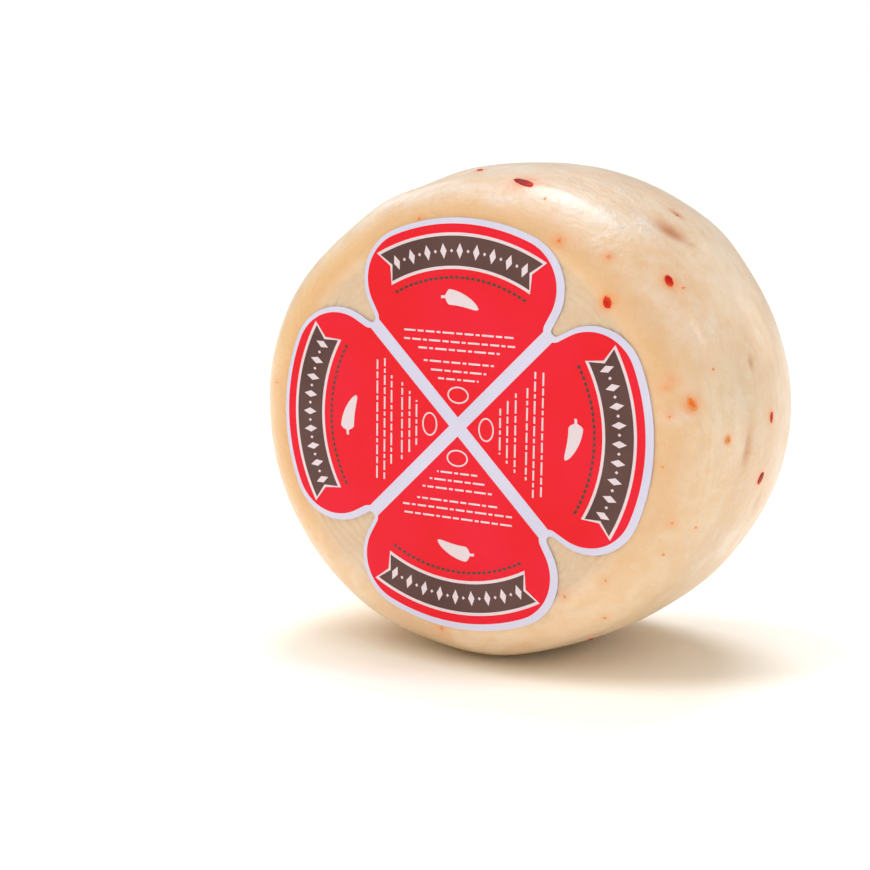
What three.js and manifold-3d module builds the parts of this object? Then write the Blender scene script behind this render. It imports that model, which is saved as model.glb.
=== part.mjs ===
// A whole caciotta with chilli, standing on its heel: a barrel-shaped wheel whose axis lies
// along Y, and a round four-petalled paper label on its front face, which looks along -Y.
// Millimetres, +Z up. The origin is in the plane of the small flat that the wheel rests on,
// under the middle of the whole.
import * as THREE from 'three';
import * as BufferGeometryUtils from 'three/addons/utils/BufferGeometryUtils.js';
import Module from 'manifold-3d';

const wasm = await Module();
wasm.setup();

// ---- The wheel ------------------------------------------------------------------------------
const BELLY_RADIUS = 85;        // round the middle of the heel, before it sags oval
const EDGE_RADIUS = 76.5;       // where the heel's curve would meet the plane of a face
const THICKNESS = 95;           // from flat face to flat face
const SHOULDER_REACH = 17;      // how far the rounded shoulder runs down the heel
const SHOULDER_INSET = 10;      // how far it runs in over the face
const REST_FLAT_DEPTH = 1.8;    // how much of the belly the rest spot presses flat
const ROUND_SEGMENTS = 96;
const FACE_RINGS = [24, 44, 58];
const SHOULDER_STEPS = 6;
const HEEL_STEPS = 12;

// The wheel's own weight makes it slightly oval: [waves per turn, cosine share, sine share].
const OVAL = [
  [2, 0.025, 0.016],
  [4, 0.004, -0.007],
];

// Broad hand-made bumps (+) and hollows (-) of the rind: clock angle in degrees from +X
// towards +Z, depth along Y, height and reach in millimetres.
const LUMPS = [
  { turn: 118.5, depth: -31, height: 1.2, reach: 11 },
  { turn: 103, depth: -13, height: 0.7, reach: 12 },
  { turn: 82, depth: 0, height: -0.4, reach: 15 },
  { turn: 48, depth: 32, height: 0.8, reach: 11 },
  { turn: 321, depth: 9, height: 0.5, reach: 14 },
  { turn: 297, depth: -27, height: -0.5, reach: 12 },
  { turn: 277, depth: -32, height: 0.5, reach: 12 },
  { turn: 255, depth: -42, height: -1.3, reach: 11 },
  { turn: 183, depth: -43, height: -0.5, reach: 13 },
  { turn: 148, depth: -36, height: 0.4, reach: 12 },
  { turn: 150, depth: 20, height: -0.7, reach: 16 },
  { turn: 200, depth: 8, height: 0.6, reach: 18 },
  { turn: 226, depth: 24, height: -0.6, reach: 15 },
];

// ---- The label ------------------------------------------------------------------------------
const LABEL_RADIUS = 67;
const LABEL_THICKNESS = 0.3;
const LABEL_GAP = 0.3;
const PETALS = 4;
const PETAL_CORNER_RADIUS = 17.4;
const PETAL_CORNER_TURN = THREE.MathUtils.degToRad(22);   // from a petal's middle line
const NOTCH_CENTRE_RADIUS = 47.1;
const NOTCH_RADIUS = 1.6;
const LABEL_CURVE_SEGMENTS = 5;

// ---- Chilli flakes in the rind --------------------------------------------------------------
const FLAKE_STAND = 0.35;       // how far a flake stands out of the rind
const FLAKE_ROOT = 0.9;         // how deep its root is sunk in
const FLAKE_CORNERS = 6;

// Flakes that show plainly: length, width, and lean of the length from the axis direction.
const HEEL_FLAKES = [
  { turn: 79, depth: -35, length: 8.4, width: 3.4, lean: 78 },
  { turn: 95.5, depth: -22, length: 2.8, width: 1.6, lean: 70 },
  { turn: 37.5, depth: -34.3, length: 4.0, width: 3.2, lean: 52 },
  { turn: 10, depth: -42.1, length: 4.8, width: 2.4, lean: 115 },
  { turn: 1, depth: -30, length: 2.6, width: 2.2, lean: 20 },
  { turn: 3, depth: 0, length: 3.4, width: 1.8, lean: 80 },
  { turn: 350, depth: -3, length: 4.6, width: 3.2, lean: 49 },
];

// Flakes in the front face, just outside the label, by their distance from the axis.
const FACE_FLAKES = [
  { turn: 41, radius: 66.3, length: 4.0, width: 3.2, lean: 60 },
];

// The rest are spread evenly by a seeded rule over the part of the heel that turns away from
// the shown side, and over the bare back face.
const FLAKE_SEED = 20413;
const SPREAD_HEEL_COUNT = 30;
const SPREAD_BACK_COUNT = 20;
const SPREAD_LONGEST = 5.6;
const SPREAD_SHORTEST = 2.2;
const SHOWN_SIDE = { fromTurn: -62, toTurn: 128, toDepth: 36, rimDepth: -28 };
const REST_CLEARANCE_TURN = 16;  // no flake this near the rest spot, in degrees
const BACK_FACE_REACH = 62;

const TURN = Math.PI * 2;
const GOLDEN_TURN = TURN * (1 - 1 / ((1 + Math.sqrt(5)) / 2));
const DOWN = TURN * 0.75;
const HALF_THICKNESS = THICKNESS / 2;

const rind = new THREE.MeshStandardMaterial({ color: 0xecca9c, roughness: 0.42, metalness: 0 });
const paper = new THREE.MeshStandardMaterial({ color: 0xe5293f, roughness: 0.55, metalness: 0 });

function ovalShare(turn) {
  return OVAL.reduce(
    (share, [waves, cosine, sine]) =>
      share + cosine * Math.cos(waves * turn) + sine * Math.sin(waves * turn), 1);
}

// The heel's radius at a depth along the axis, rounded in at both shoulders.
function heelRadius(depth) {
  const bulge = BELLY_RADIUS - (BELLY_RADIUS - EDGE_RADIUS) * (depth / HALF_THICKNESS) ** 2;
  const fromFace = HALF_THICKNESS - Math.abs(depth);
  const up = Math.max(0, 1 - fromFace / SHOULDER_REACH);
  return bulge - SHOULDER_INSET * (1 - Math.sqrt(1 - up * up));
}

const REST_RADIUS = BELLY_RADIUS * ovalShare(DOWN) - REST_FLAT_DEPTH;
const lumpCentres = LUMPS.map(({ turn, depth, height, reach }) => {
  const angle = THREE.MathUtils.degToRad(turn);
  const radius = heelRadius(depth) * ovalShare(angle);
  const centre = new THREE.Vector3(radius * Math.cos(angle), depth, radius * Math.sin(angle));
  return { centre, height, reach };
});

// A point of the rind, with the wheel's centre at the origin: the smooth wheel's point at a
// turn, depth and radius, moved out or in by the lumps near it.
function rindPoint(turn, depth, radius) {
  const stretched = radius * ovalShare(turn);
  const smooth = new THREE.Vector3(
    stretched * Math.cos(turn), depth, stretched * Math.sin(turn));
  const lift = lumpCentres.reduce(
    (sum, { centre, height, reach }) =>
      sum + height * Math.exp(-((smooth.distanceTo(centre) / reach) ** 2)), 0);
  const moved = stretched + lift * (radius / heelRadius(depth));
  return new THREE.Vector3(moved * Math.cos(turn), depth, moved * Math.sin(turn));
}

function toSolid(geometry) {
  const bare = geometry.clone();
  bare.deleteAttribute('normal');
  bare.deleteAttribute('uv');
  const merged = BufferGeometryUtils.mergeVertices(bare, 1e-4);
  const corners = merged.index.array;
  const kept = [];
  for (let i = 0; i < corners.length; i += 3) {
    const [a, b, c] = corners.slice(i, i + 3);
    if (a !== b && b !== c && c !== a) kept.push(a, b, c);
  }
  return new wasm.Manifold(new wasm.Mesh({
    numProp: 3,
    vertProperties: new Float32Array(merged.attributes.position.array),
    triVerts: new Uint32Array(kept),
  }));
}

function toGeometry(solid) {
  const { vertProperties, triVerts } = solid.getMesh();
  const geometry = new THREE.BufferGeometry();
  geometry.setAttribute('position', new THREE.BufferAttribute(vertProperties, 3));
  geometry.setIndex(new THREE.BufferAttribute(triVerts, 1));
  return geometry;
}

// The wheel's outline from the middle of the front face to the middle of the back face.
function wheelProfile() {
  const half = [];
  const shoulderRadius = heelRadius(HALF_THICKNESS);
  half.push(new THREE.Vector2(0, -HALF_THICKNESS));
  FACE_RINGS.forEach((radius) => half.push(new THREE.Vector2(radius, -HALF_THICKNESS)));
  half.push(new THREE.Vector2(shoulderRadius, -HALF_THICKNESS));
  for (let step = 1; step <= SHOULDER_STEPS; step += 1) {
    const angle = (step / SHOULDER_STEPS) * (Math.PI / 2);
    const depth = -HALF_THICKNESS + SHOULDER_REACH * (1 - Math.cos(angle));
    half.push(new THREE.Vector2(heelRadius(depth), depth));
  }
  const straight = HALF_THICKNESS - SHOULDER_REACH;
  const heel = [];
  for (let step = 1; step < HEEL_STEPS; step += 1) {
    const depth = -straight + (2 * straight * step) / HEEL_STEPS;
    heel.push(new THREE.Vector2(heelRadius(depth), depth));
  }
  const back = half.map(({ x, y }) => new THREE.Vector2(x, -y)).reverse();
  return [...half, ...heel, ...back];
}

function makeWheel() {
  const geometry = new THREE.LatheGeometry(wheelProfile(), ROUND_SEGMENTS);
  const position = geometry.attributes.position;
  for (let i = 0; i < position.count; i += 1) {
    const depth = position.getY(i);
    const radius = Math.hypot(position.getX(i), position.getZ(i));
    const turn = Math.atan2(position.getZ(i), position.getX(i));
    const point = rindPoint(turn, depth, radius);
    position.setXYZ(i, point.x, depth, Math.max(point.z, -REST_RADIUS));
  }
  return toSolid(geometry);
}

// A seeded source of numbers from 0 to 1.
function seededDraw(seed) {
  let state = seed;
  return () => {
    state = (Math.imul(state, 1664525) + 1013904223) >>> 0;
    return state / 2 ** 32;
  };
}

// Place, outward direction and length direction of a spot on the rind.
function spotOnHeel(turnDegrees, depth, lean) {
  const turn = THREE.MathUtils.degToRad(turnDegrees);
  const step = 0.5;
  const place = rindPoint(turn, depth, heelRadius(depth));
  const along = rindPoint(turn, depth + step, heelRadius(depth + step)).sub(place).normalize();
  const round = new THREE.Vector3(-Math.sin(turn), 0, Math.cos(turn));
  const out = new THREE.Vector3().crossVectors(along, round).normalize();
  if (out.dot(place) < 0) out.negate();
  return { place, out, length: leaning(along, round, lean) };
}

// The same on a flat face: side -1 is the front face, 1 the back.
function spotOnFace(side, turn, radius, lean) {
  const place = new THREE.Vector3(
    radius * Math.cos(turn), side * HALF_THICKNESS, radius * Math.sin(turn));
  const out = new THREE.Vector3(0, side, 0);
  const along = new THREE.Vector3(Math.cos(turn), 0, Math.sin(turn));
  const round = new THREE.Vector3(-Math.sin(turn), 0, Math.cos(turn));
  return { place, out, length: leaning(along, round, lean) };
}

function leaning(along, round, leanDegrees) {
  const lean = THREE.MathUtils.degToRad(leanDegrees);
  return along.clone().multiplyScalar(Math.cos(lean)).addScaledVector(round, Math.sin(lean));
}

// A flat chip with uneven corners, narrower at its outer face, its root sunk in the rind.
function makeFlake({ place, out, length }, long, wide, draw) {
  const across = new THREE.Vector3().crossVectors(out, length).normalize();
  const run = new THREE.Vector3().crossVectors(across, out).normalize();
  const outline = [];
  for (let corner = 0; corner < FLAKE_CORNERS; corner += 1) {
    const angle = ((corner + 0.5 * draw()) / FLAKE_CORNERS) * TURN;
    const reach = 0.8 + 0.3 * draw();
    outline.push([0.5 * long * reach * Math.cos(angle), 0.5 * wide * reach * Math.sin(angle)]);
  }
  const rings = [
    { height: -FLAKE_ROOT, share: 1 },
    { height: FLAKE_STAND, share: 0.9 },
  ];
  const positions = [];
  rings.forEach(({ height, share }) => outline.forEach(([x, y]) => {
    const point = place.clone().addScaledVector(run, x * share)
      .addScaledVector(across, y * share).addScaledVector(out, height);
    positions.push(point.x, point.y, point.z);
  }));
  const triangles = [];
  for (let corner = 0; corner < FLAKE_CORNERS; corner += 1) {
    const next = (corner + 1) % FLAKE_CORNERS;
    const top = corner + FLAKE_CORNERS;
    const topNext = next + FLAKE_CORNERS;
    triangles.push(corner, next, topNext, corner, topNext, top);
    if (corner > 0 && next > 0) triangles.push(0, next, corner);
    if (corner > 0 && next > 0) triangles.push(FLAKE_CORNERS, top, topNext);
  }
  const geometry = new THREE.BufferGeometry();
  geometry.setAttribute('position', new THREE.Float32BufferAttribute(positions, 3));
  geometry.setIndex(triangles);
  return toSolid(geometry);
}

// Even spread: a golden-angle spiral over the heel, largest flakes first.
function spreadOnHeel(draw) {
  const flakes = [];
  for (let i = 0; flakes.length < SPREAD_HEEL_COUNT; i += 1) {
    const turn = THREE.MathUtils.radToDeg((i * GOLDEN_TURN) % TURN);
    const depth = (draw() - 0.5) * (THICKNESS - SHOULDER_REACH);
    const lean = draw() * 180;
    const signed = turn > 180 ? turn - 360 : turn;
    const onShownHeel = signed > SHOWN_SIDE.fromTurn && signed < SHOWN_SIDE.toTurn
      && depth < SHOWN_SIDE.toDepth;
    const shown = onShownHeel || depth < SHOWN_SIDE.rimDepth;
    const nearRest = Math.abs(turn - 270) < REST_CLEARANCE_TURN;
    if (!shown && !nearRest) flakes.push(spotOnHeel(turn, depth, lean));
  }
  return flakes;
}

function spreadOnBack(draw) {
  const flakes = [];
  for (let i = 0; i < SPREAD_BACK_COUNT; i += 1) {
    const radius = BACK_FACE_REACH * Math.sqrt((i + 0.5) / SPREAD_BACK_COUNT);
    flakes.push(spotOnFace(1, i * GOLDEN_TURN, radius, draw() * 180));
  }
  return flakes;
}

function makeFlakes() {
  const draw = seededDraw(FLAKE_SEED);
  const shown = HEEL_FLAKES.map(({ turn, depth, length, width, lean }) =>
    makeFlake(spotOnHeel(turn, depth, lean), length, width, draw));
  const onFace = FACE_FLAKES.map(({ turn, radius, length, width, lean }) =>
    makeFlake(spotOnFace(-1, THREE.MathUtils.degToRad(turn), radius, lean), length, width, draw));
  const spread = [spreadOnHeel(draw), spreadOnBack(draw)].flatMap((spots) =>
    spots.map((spot, i) => {
      const size = 1 - i / spots.length;
      const long = SPREAD_SHORTEST + (SPREAD_LONGEST - SPREAD_SHORTEST) * size * size;
      return makeFlake(spot, long, long * (0.45 + 0.35 * draw()), draw);
    }));
  return [...shown, ...onFace, ...spread];
}

// Quarter of the die-cut outline, from the notch before a petal to the notch after it.
function addPetal(path, middle) {
  const cornerCentreRadius = LABEL_RADIUS - PETAL_CORNER_RADIUS;
  const at = (radius, turn) => new THREE.Vector2(
    radius * Math.cos(middle + turn), radius * Math.sin(middle + turn));
  const notchTurn = Math.PI / PETALS;
  const notch = at(NOTCH_CENTRE_RADIUS, notchTurn);
  const corner = at(cornerCentreRadius, PETAL_CORNER_TURN);
  const between = notch.clone().sub(corner);
  const leave = between.angle() - Math.acos(
    (PETAL_CORNER_RADIUS + NOTCH_RADIUS) / between.length());
  const sweep = leave - middle;
  const before = at(cornerCentreRadius, -PETAL_CORNER_TURN);
  const notchBefore = at(NOTCH_CENTRE_RADIUS, -notchTurn);
  path.absarc(notchBefore.x, notchBefore.y, NOTCH_RADIUS,
    middle - notchTurn + Math.PI, middle - sweep + Math.PI, true);
  path.absarc(before.x, before.y, PETAL_CORNER_RADIUS,
    middle - sweep, middle - PETAL_CORNER_TURN, false);
  path.absarc(0, 0, LABEL_RADIUS,
    middle - PETAL_CORNER_TURN, middle + PETAL_CORNER_TURN, false);
  path.absarc(corner.x, corner.y, PETAL_CORNER_RADIUS,
    middle + PETAL_CORNER_TURN, leave, false);
  path.absarc(notch.x, notch.y, NOTCH_RADIUS,
    leave + Math.PI, middle + notchTurn + Math.PI, true);
}

function makeLabel() {
  const outline = new THREE.Shape();
  for (let petal = 0; petal < PETALS; petal += 1) addPetal(outline, (petal * TURN) / PETALS);
  const sheet = new THREE.ExtrudeGeometry(outline, {
    depth: LABEL_THICKNESS, bevelEnabled: false, curveSegments: LABEL_CURVE_SEGMENTS,
  });
  return toSolid(sheet);
}

const wheelSolid = makeFlakes().reduce((body, flake) => body.add(flake), makeWheel());
const wheel = new THREE.Mesh(toGeometry(wheelSolid), rind);
wheel.name = 'cheese_wheel';

const label = new THREE.Mesh(toGeometry(makeLabel()), paper);
label.name = 'label';
label.rotation.x = Math.PI / 2;
label.position.y = -HALF_THICKNESS - LABEL_GAP;

const caciotta = new THREE.Group();
caciotta.add(wheel, label);
const box = new THREE.Box3().setFromObject(caciotta);
const middle = box.getCenter(new THREE.Vector3());
caciotta.position.set(-middle.x, -middle.y, -box.min.z);

export default caciotta;
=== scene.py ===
"""A whole caciotta with chilli, standing on its heel, with a round four-petalled paper label.

The wheel's axis lies along Y and the label looks along -Y. Sizes are millimetres times MM.
"""
import math

import bmesh
import bpy
import numpy as np
from mathutils import Matrix, Vector
from mathutils.bvhtree import BVHTree


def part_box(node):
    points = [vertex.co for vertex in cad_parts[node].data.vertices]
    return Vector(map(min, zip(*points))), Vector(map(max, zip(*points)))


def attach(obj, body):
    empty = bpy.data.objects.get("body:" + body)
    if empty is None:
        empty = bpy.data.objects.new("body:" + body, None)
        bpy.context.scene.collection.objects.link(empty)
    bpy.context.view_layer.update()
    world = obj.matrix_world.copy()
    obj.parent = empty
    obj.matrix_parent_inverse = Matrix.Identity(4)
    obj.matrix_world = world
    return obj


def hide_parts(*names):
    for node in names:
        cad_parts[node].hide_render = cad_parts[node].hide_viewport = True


MM = 0.001
TURN = 2 * math.pi
GOLDEN_TURN = TURN * (1 - 1 / ((1 + math.sqrt(5)) / 2))

# ---- The wheel: the same driving sizes as its solid ------------------------------------------
BELLY_RADIUS = 85 * MM
EDGE_RADIUS = 76.5 * MM
THICKNESS = 95 * MM
SHOULDER_REACH = 17 * MM
SHOULDER_INSET = 10 * MM
HALF_THICKNESS = THICKNESS / 2
OVAL = [(2, 0.025, 0.016), (4, 0.004, -0.007)]   # waves per turn, cosine share, sine share
LABEL_GAP = 0.3 * MM

# Broad bumps (+) and hollows (-): clock angle from +X to +Z, depth along Y, height, reach.
LUMPS = [
    (118.5, -31, 1.2, 11), (103, -13, 0.7, 12), (82, 0, -0.4, 15), (48, 32, 0.8, 11),
    (321, 9, 0.5, 14), (297, -27, -0.5, 12), (277, -32, 0.5, 12), (255, -42, -1.3, 11),
    (183, -43, -0.5, 13), (148, -36, 0.4, 12), (150, 20, -0.7, 16), (200, 8, 0.6, 18),
    (226, 24, -0.6, 15),
]

# Long shallow dents with a browned floor: turn, depth, length, width, lean, sink, brownness.
DENTS = [
    (48, -13.6, 6.4, 4.2, 138, 1.0, 1.0),
    (52.2, 1.1, 3.0, 1.9, 136, 0.5, 0.8),
    (44.0, -9.5, 3.4, 2.0, 138, 0.4, 0.5),
    (358, -17.8, 6.8, 2.2, 78, 0.5, 0.65),
    (15.5, -10.7, 2.6, 1.6, 70, 0.4, 0.75),
    (343, 2.0, 5.0, 2.6, 75, 0.5, 0.3),
    (215, 12, 6.0, 2.6, 70, 0.6, 0.6),
    (140, -6, 5.0, 3.0, 60, 0.6, 0.7),
    (170, 28, 3.0, 5.5, 10, 0.5, 0.5),
]

DENT_REACH = 3              # a dent ends at about this many of its lengths

# Patches where the coating has a pale haze, some of them painted highlight streaks and glints on
# the crest and the heel: turn, depth, reach round, reach along, strength.
HAZE_AND_SHEEN_PATCHES = [
    (51.5, -24.5, 5.5, 5.0, 0.9), (56, -33, 7.0, 4.0, 0.7), (53, -42.5, 4.0, 3.0, 0.55),
    (25, -26, 5.0, 4.0, 0.8), (20.5, 2, 5.0, 4.0, 0.7), (7.5, -45, 2.6, 2.4, 1.0),
    (27, -37, 9.0, 4.5, 0.5), (29, -6, 8.0, 6.0, 0.45), (67.5, -38, 8.0, 3.0, 0.5),
    (334, -9, 12.0, 9.0, 0.6), (329, -21, 8.0, 6.0, 0.45), (36, -41, 7.0, 4.0, 0.4),
    (106, -39, 9.0, 2.2, 0.8), (117, -37.5, 10.0, 2.0, 0.7), (96, -38.5, 8.0, 2.0, 0.8),
    (130, -33, 10.0, 2.5, 0.6), (82, -43, 7.0, 2.0, 0.7), (88, -18, 9.0, 6.0, 0.4),
    (62, -12, 9.0, 6.0, 0.35), (8, -20, 8.0, 7.0, 0.4), (150, -30, 12.0, 3.0, 0.5),
    (180, 10, 14.0, 9.0, 0.5), (215, -20, 10.0, 8.0, 0.45), (75, 30, 12.0, 7.0, 0.5),
    (20, 32, 10.0, 7.0, 0.5), (240, 15, 9.0, 9.0, 0.4), (310, 25, 12.0, 6.0, 0.5),
]

ROUND_STEPS = 556
PROFILE_STEPS = 176
HEEL_SHARE = 0.30          # of half the profile, from the middle of the heel
SHOULDER_SHARE = 0.52      # where the shoulder ends and the flat face starts

# ---- Chilli: the same places and rule as on the wheel's solid ---------------------------------
FLAKE_STAND = 0.35 * MM
FLAKE_ROOT = 0.9 * MM
FLAKE_CORNERS = 6
# turn, depth, length, width, lean, tone at one end and at the other (0 maroon, 1 orange)
HEEL_FLAKES = [
    (79, -35, 8.4, 3.4, 78, 0.35, 0.05),
    (95.5, -22, 2.8, 1.6, 70, 0.4, 0.4),
    (37.5, -34.3, 4.0, 3.2, 52, 0.45, 0.3),
    (10, -42.1, 4.8, 2.4, 115, 0.85, 0.72),
    (1, -30, 2.6, 2.2, 20, 0.88, 0.84),
    (3, 0, 3.4, 1.8, 80, 0.35, 0.3),
    (350, -3, 4.6, 3.2, 49, 0.2, 0.1),
]
# turn, distance from the axis, length, width, lean, tone at one end and at the other
FACE_FLAKES = [(41, 66.3, 4.0, 3.2, 60, 0.4, 0.5)]
FLAKE_SEED = 20413
SPREAD_HEEL_COUNT = 30
SPREAD_BACK_COUNT = 20
SPREAD_LONGEST = 5.6
SPREAD_SHORTEST = 2.2
SHOWN_SIDE = {"from_turn": -62, "to_turn": 128, "to_depth": 36, "rim_depth": -28}
REST_CLEARANCE_TURN = 16
BACK_FACE_REACH = 62 * MM
# Rings of a flake above its root: height as a share of its stand, width share.
FLAKE_RINGS = [(0.35, 1.02), (0.85, 0.95), (1.0, 0.78)]
FLAKE_EDGE_TONE = 0.2      # how much paler its thin edges are
PALEST_FLAKE = 0.95        # no flake's edge is paler
TONE_STEP = 0.618          # from one spread flake's tone to the next, as a share of all tones
CRUMB_STAND = 0.12 * MM
CRUMB_ROOT = 0.5 * MM
SPECK_REST_CLEARANCE = 3 * MM
SPECK_EDGE = 0.05          # how far specks reach into the side that shows
SHOWN_RISE = 0.2           # how much the side that shows looks upwards

# Crumbs of chilli that show under the coating: turn, depth, size, tone, halo.
CRUMBS = [
    (71.5, -39.5, 1.4, 1.0, 0.2), (61.5, -46.9, 1.9, 0.85, 0.6), (49.5, -43.8, 1.2, 0.9, 0.7),
    (35, -30.6, 1.0, 0.8, 0.4), (52, 0.8, 1.2, 0.1, 0.4), (16.5, -32.9, 1.2, 1.0, 0.15),
    (8, -46.6, 1.0, 0.9, 0.5), (342, -43.5, 1.3, 0.96, 0.35), (341.5, -35.9, 1.2, 0.96, 0.25),
    (333.5, -41.5, 1.2, 1.0, 0.15), (320, -47.1, 1.0, 1.0, 0.15), (310, -39.3, 1.2, 0.9, 0.4),
    (264.5, -46.7, 1.5, 0.9, 0.4), (104, -46.5, 1.3, 0.8, 0.4), (173.5, -46.3, 1.3, 1.0, 0.3),
    (111, -30.4, 1.0, 0.9, 0.3), (355.5, -47.3, 1.0, 1.0, 0.15), (35, -29.6, 0.8, 0.9, 0.3),
]

# Crumbs on the front face: turn, distance from the axis, size, tone, halo.
FACE_CRUMBS = [(307, 63.5, 1.4, 0.92, 0.4), (319.5, 46.9, 1.1, 0.92, 0.4)]

# Soft orange blots deeper in the rind: turn, depth, reach, strength.
BLOTS = [(16.5, -45, 2.4, 0.35), (15, -46.3, 1.3, 0.5), (36, -31, 2.0, 0.25)]

# Broad spots on the right of the heel darkened as painted shade: turn, depth, reach, strength.
PAINTED_SHADE_SPOTS = [(336, -21, 25, 0.42), (8, -18, 15, 0.26)]

# The rind is amber at both edges, beyond this depth and this distance from the axis. The band
# also paints a warm glow of light on the upper left rim, so it fades towards the foot and is
# weaker towards the right.
AMBER_AND_RIM_LIGHT_DEPTH = 39.5 * MM
AMBER_AND_RIM_LIGHT_DEPTH_SOFTNESS = 7 * MM
AMBER_AND_RIM_LIGHT_RADIUS = 60 * MM
AMBER_AND_RIM_LIGHT_RADIUS_SOFTNESS = 8 * MM
RIM_LIGHT_AT_AXIS_HEIGHT = 1.3  # from here it fades towards the foot of the wheel
RIM_LIGHT_FADE_HEIGHT = 60 * MM
RIM_LIGHT_AT_FOOT = 0.12
RIM_LIGHT_RIGHT_LOSS = 0.5      # it is weaker towards the right edge
RIM_LIGHT_RIGHT_REACH = 75 * MM

STAIN = 0.9                 # how strongly chilli stains the rind beside it
FLAKE_STAIN_REACH = 0.6 * MM
CRUMB_STAIN_REACH = 0.8 * MM

# ---- What the mould leaves in the flat faces --------------------------------------------------
MOULD_RING_SPACING = 2.7 * MM
MOULD_RING_WOBBLE = 9 * MM
MOULD_RINGS_CLEAR = (40 * MM, 56 * MM)     # the rings grow from faint to clear between these
MOULD_CENTRE = (12 * MM, 45 * MM)          # the middle is smooth, and these bound its edge
MOULD_SPOKES = 24                          # fine spokes, by their noise's scale round the axis
MOULD_SPOKE_RUN = 40                       # and out from it
COATING_RELIEF = 0.45 * MM

# ---- Colours, as they look on screen ----------------------------------------------------------
# Of the rind's colours, the amber also paints a warm glow of light on the upper left rim, the
# haze in part paints highlights, and the colour of the broad darker spots is painted shade.
RIND_COLOURS = {
    "deep cream": (224, 187, 146), "cream": (233, 207, 173), "streak": (224, 180, 132),
    "veil": (216, 190, 166), "amber_and_rim_light": (222, 174, 118), "flat face": (212, 186, 156),
    "painted_shade": (192, 160, 118), "haze_and_sheen": (236, 224, 210), "deep blotch": (222, 178, 124),
    "pale blotch": (230, 212, 186), "bruise": (186, 112, 56), "stain": (236, 134, 58),
}
# Chilli from maroon over orange to tan, by tone.
CHILLI_COLOURS = [(0.0, (104, 6, 8)), (0.3, (168, 16, 8)), (0.55, (216, 46, 12)),
                  (0.8, (228, 112, 42)), (0.92, (230, 156, 84)), (1.0, (190, 144, 92))]
# The label's papers and inks: plain, and in the paler patches.
LABEL_COLOURS = {
    "label paper": ((208, 207, 230), (214, 212, 232)),
    "red print": ((229, 10, 30), (231, 18, 48)),
    "brown print": ((84, 56, 52), (96, 68, 64)),
    "pale print": ((222, 206, 212), (228, 214, 220)),
}
# Painted shade that darkens the paper grain's hollows a little.
HOLLOW_SHADE_COLOUR = (60, 30, 30)
FLOOR_COLOUR = (250, 243, 228)

# ---- The label --------------------------------------------------------------------------------
LABEL_RADIUS = 67.0
PETALS = 4
CORNER_RADIUS = 17.4
CORNER_TURN = math.radians(22)
NOTCH_CENTRE = 47.1
NOTCH_RADIUS = 1.6
BORDER = 2.0               # bare paper round the print
STRIP = 2.2                # half the bare strip between two petals
PRINT_SHIFT = (-0.7, 0.1)  # the print sits a little off the die-cut outline
INK = 0.03 * MM            # one layer of print over the next
RIBBON_TURN = math.radians(28.5)    # half of what each ribbon spans
RIBBON = (51.7, 61.2)      # its lower and its upper edge, from the label's middle
RIBBON_EDGE = 1.0
TAIL_NOTCH = math.radians(2.6)
LOZENGES = 9
LOZENGE_MARGIN = math.radians(4.5)
LOZENGE_HALVES = (2.5, 1.15)        # half height, half width
SMALL_LOZENGE_HALVES = (0.6, 0.55)
DASHES = 26
DASH_RADIUS = 48.0
DASH_HALF = 0.45
DASH_SHARE = 0.34          # half a dash, as a share of a step
# Distance from the middle and width of each thin rule, as shares of the label's radius.
RULES = [(0.45, 0.60), (0.408, 0.60), (0.369, 0.44), (0.309, 0.38), (0.267, 0.30),
         (0.228, 0.22)]
RULE_HALF = 0.3
RULE_GAP = 0.8
RULE_DASHES = [4.2, 2.2, 3.2, 1.4]
RING_CENTRE = 10.3
RING_HALF_AXES = (3.9, 2.8)
RING_WIDTH = 0.5
# The pod lies along an arch from its stalk's end: start, run, height of the arch.
POD_START = (-6.6, 41.5)
POD_RUN = (13.6, -3.2)
POD_ARCH = 5.0
POD_HALF = 2.5
POD_STEPS = 18
STALK_SHARE = 0.14
STALK_HALF = 0.45
POD_NECK = (3, 1.9)        # the step where the pod widens from its stalk, and its half width

# ---- The view ---------------------------------------------------------------------------------
FRAME_PIXELS = 870
FOCAL_PIXELS = 1801.0
SENSOR_MM = 36.0
CAMERA_TURN = math.radians(28.447)
CAMERA_RISE = math.radians(10.288)
CAMERA_ROLL = math.radians(0.748)
CAMERA_DISTANCE = 578.45 * MM      # from the middle of the label
LABEL_PIXEL = (460.32, 427.21)     # where the middle of the label lands in the frame

# ---- Light ------------------------------------------------------------------------------------
SURROUND = 0.42
SOFTBOX_DISTANCE = 1.2
# The long oval on the floor that keeps the wheel's shade; outside it the floor glows white.
SHADOW_TURN = math.radians(28)
SHADOW_MIDDLE = (25 * MM, -11 * MM)
SHADOW_REACH = (122 * MM, 50 * MM)
# In ovals: where the glow starts and is full, and where it fades; then its strengths.
GLOW_RISE = (0.65, 1.16)
GLOW_FADE = (1.5, 2.6)
GLOW = 0.28
GLOW_LOSS = 0.16

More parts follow.
